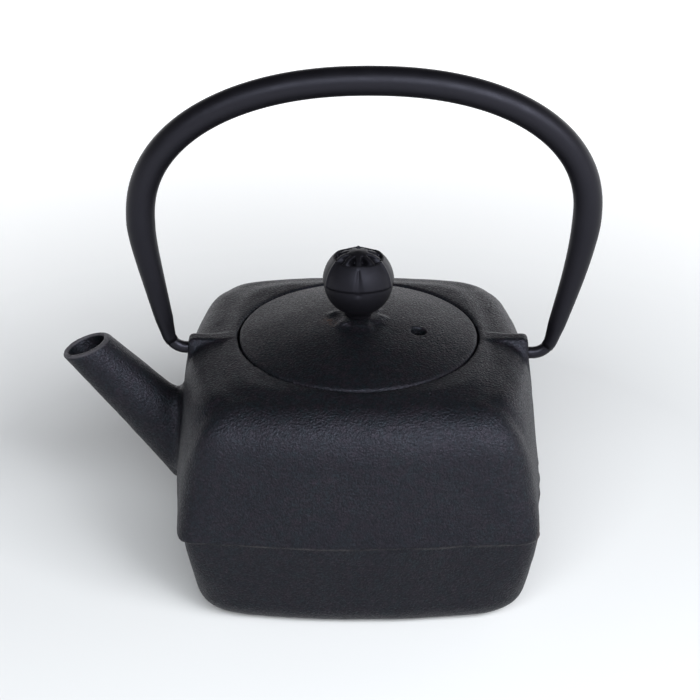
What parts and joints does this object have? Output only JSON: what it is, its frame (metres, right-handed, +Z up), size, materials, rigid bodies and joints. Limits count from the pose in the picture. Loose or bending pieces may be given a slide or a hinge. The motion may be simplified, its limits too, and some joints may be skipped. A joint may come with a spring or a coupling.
{
  "type": "teapot",
  "caption": "Square cast iron teapot with a round lift-off lid, bud knob, swinging bail handle, straight spout and lift-out infuser basket.",
  "frame": {"origin": "centre of the flat underside, on the surface that the pot stands on", "axes": "+Z up; -X towards the spout; the bail handle spans along X and swings about an axis near X; Y is across the pot"},
  "size_m": [0.1723, 0.119, 0.1671],
  "materials": {
    "iron_body": "fine pebbled casting skin, matte black",
    "iron_lid": "fine pebbled casting skin, matte black",
    "iron_knob": "smooth satin black",
    "iron_handle": "smooth satin black",
    "iron_hook": "satin black, rubbed shiny",
    "steel_washer": "plain",
    "infuser_steel": "satin",
    "infuser_mesh": "fine mesh"
  },
  "bodies": {
    "pot": {"pot_body": "iron_body"},
    "infuser": {"infuser_rim": "infuser_steel", "infuser_wall": "infuser_mesh", "infuser_floor": "infuser_mesh", "infuser_base_ring": "infuser_steel"},
    "lid": {"lid": "iron_lid"},
    "knob": {"lid_knob": "iron_knob", "knob_washer": "steel_washer"},
    "handle": {"handle_tube": "iron_handle", "handle_hook_spout_side": "iron_hook", "handle_hook_rear_side": "iron_hook"}
  },
  "joints": [
    {"name": "handle_swing", "type": "hinge", "parent": "pot", "child": "handle", "pos_m": [0, 0, 0.0712], "axis": [0.9998, 0, -0.0181], "range_deg": [-120, 120]},
    {"name": "infuser_lift", "type": "slide", "parent": "pot", "child": "infuser", "axis": [0, 0, 1], "range_m": [0, 0.045]},
    {"name": "lid_lift", "type": "slide", "parent": "infuser", "child": "lid", "axis": [0, 0, 1], "range_m": [0, 0.04]},
    {"name": "knob_turn", "type": "hinge", "parent": "lid", "child": "knob", "pos_m": [0, 0, 0.0955], "axis": [0, 0, 1], "continuous": true}
  ]
}
